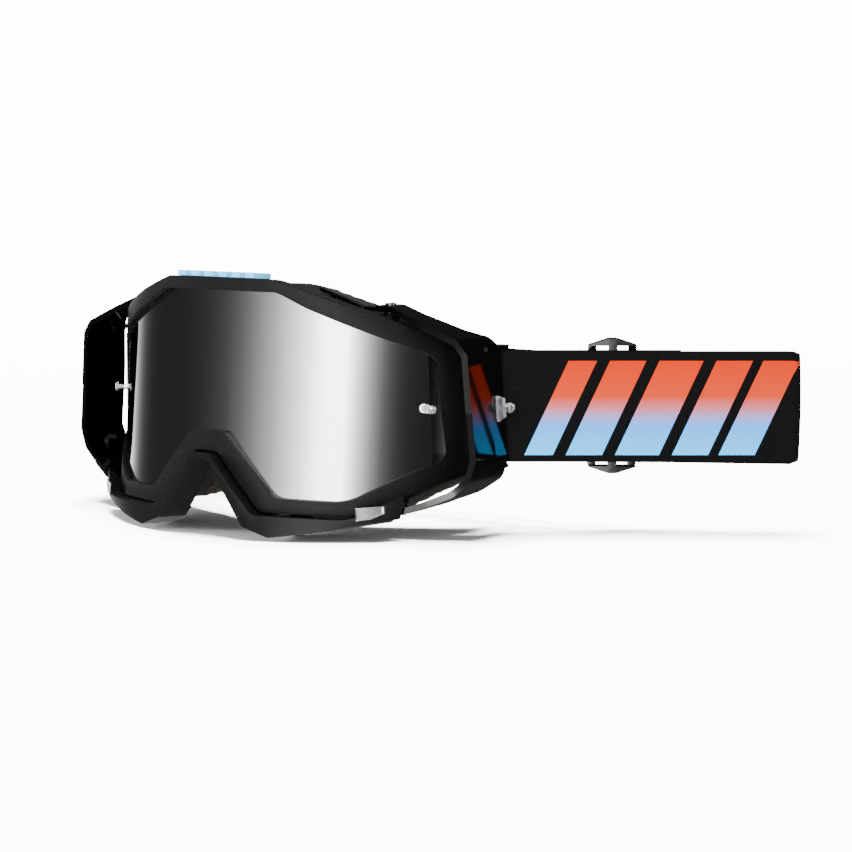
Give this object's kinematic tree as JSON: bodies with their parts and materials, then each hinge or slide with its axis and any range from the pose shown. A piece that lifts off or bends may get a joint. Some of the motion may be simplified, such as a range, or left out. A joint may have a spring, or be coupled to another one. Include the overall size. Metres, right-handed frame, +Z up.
{
  "type": "motocross goggles",
  "caption": "Off-road riding goggles with a curved mirrored lens, soft frame, layered face foam, pull-off nose guard, pivoting outriggers and an elastic head strap with sliders.",
  "frame": {"origin": "on the centre plane, level with the centre line of the strap, about 10 mm behind the rear edges of the face foam", "axes": "+X to the wearer's left, +Y back to the wearer, +Z up; the lens faces -Y"},
  "size_m": [0.291, 0.1368, 0.1013],
  "materials": {
    "frame_matte": "matte moulded elastomer",
    "guard_matte": "matte moulded plastic",
    "gloss_black": "polished",
    "lens_mirror": "silver flash mirror coating on polycarbonate",
    "seal_rubber": "soft",
    "clear_plastic": "clear moulded polycarbonate",
    "foam_grey": "open-cell foam",
    "face_fleece": "brushed moisture-wicking fleece",
    "filter_foam": "coarse open-cell filter foam",
    "strap_elastic": "woven elastic with a printed gradient pattern",
    "slider_plastic": "moulded",
    "pin_steel": "blackened",
    "badge_silver": "blank brushed plate",
    "emblem_blue": "raised pad-printed bars"
  },
  "bodies": {
    "frame": {"main_frame": "frame_matte", "lens": "lens_mirror", "lens_seal": "seal_rubber", "brow_emblem": "emblem_blue", "head_strap": "strap_elastic", "strap_tail_left": "strap_elastic", "strap_tail_right": "strap_elastic", "foam_base_layer": "foam_grey", "foam_mid_layer": "foam_grey", "foam_face_fleece": "face_fleece", "tearoff_post_left": "clear_plastic", "tearoff_post_right": "clear_plastic", "post_washer_left": "clear_plastic", "post_washer_right": "clear_plastic", "brow_rail_left": "gloss_black", "brow_rail_right": "gloss_black", "hinge_pins_left": "pin_steel", "hinge_pins_right": "pin_steel", "vent_filter_top_left": "filter_foam", "vent_filter_top_right": "filter_foam", "vent_filter_low_left": "filter_foam", "vent_filter_low_right": "filter_foam"},
    "outrigger_left": {"outrigger_left": "gloss_black", "strap_loop_left": "strap_elastic", "tab_post_left": "clear_plastic"},
    "outrigger_right": {"outrigger_right": "gloss_black", "strap_loop_right": "strap_elastic", "tab_post_right": "clear_plastic"},
    "slider_left": {"slider_left": "slider_plastic"},
    "slider_right": {"slider_right": "slider_plastic"},
    "nose_guard": {"nose_guard": "guard_matte", "guard_badge_left": "badge_silver", "guard_badge_right": "badge_silver"}
  },
  "joints": [
    {"name": "outrigger_left_hinge", "type": "hinge", "parent": "frame", "child": "outrigger_left", "pos_m": [0.0625, -0.053, -0.00025], "axis": [-0.1179, 0.0917, 0.9888], "range_deg": [-5, 3]},
    {"name": "outrigger_right_hinge", "type": "hinge", "parent": "frame", "child": "outrigger_right", "pos_m": [-0.0625, -0.053, -0.00025], "axis": [-0.1179, -0.0917, -0.9888], "range_deg": [-5, 3]},
    {"name": "slider_left_slide", "type": "slide", "parent": "frame", "child": "slider_left", "axis": [0.8348, 0.5505, 0], "range_m": [-0.015, 0.012]},
    {"name": "slider_right_slide", "type": "slide", "parent": "frame", "child": "slider_right", "axis": [0.9997, -0.0232, 0], "range_m": [-0.008, 0.016]},
    {"name": "nose_guard_pull", "type": "slide", "parent": "frame", "child": "nose_guard", "axis": [0, -0.9965, 0.0837], "range_m": [0, 0.012]}
  ]
}
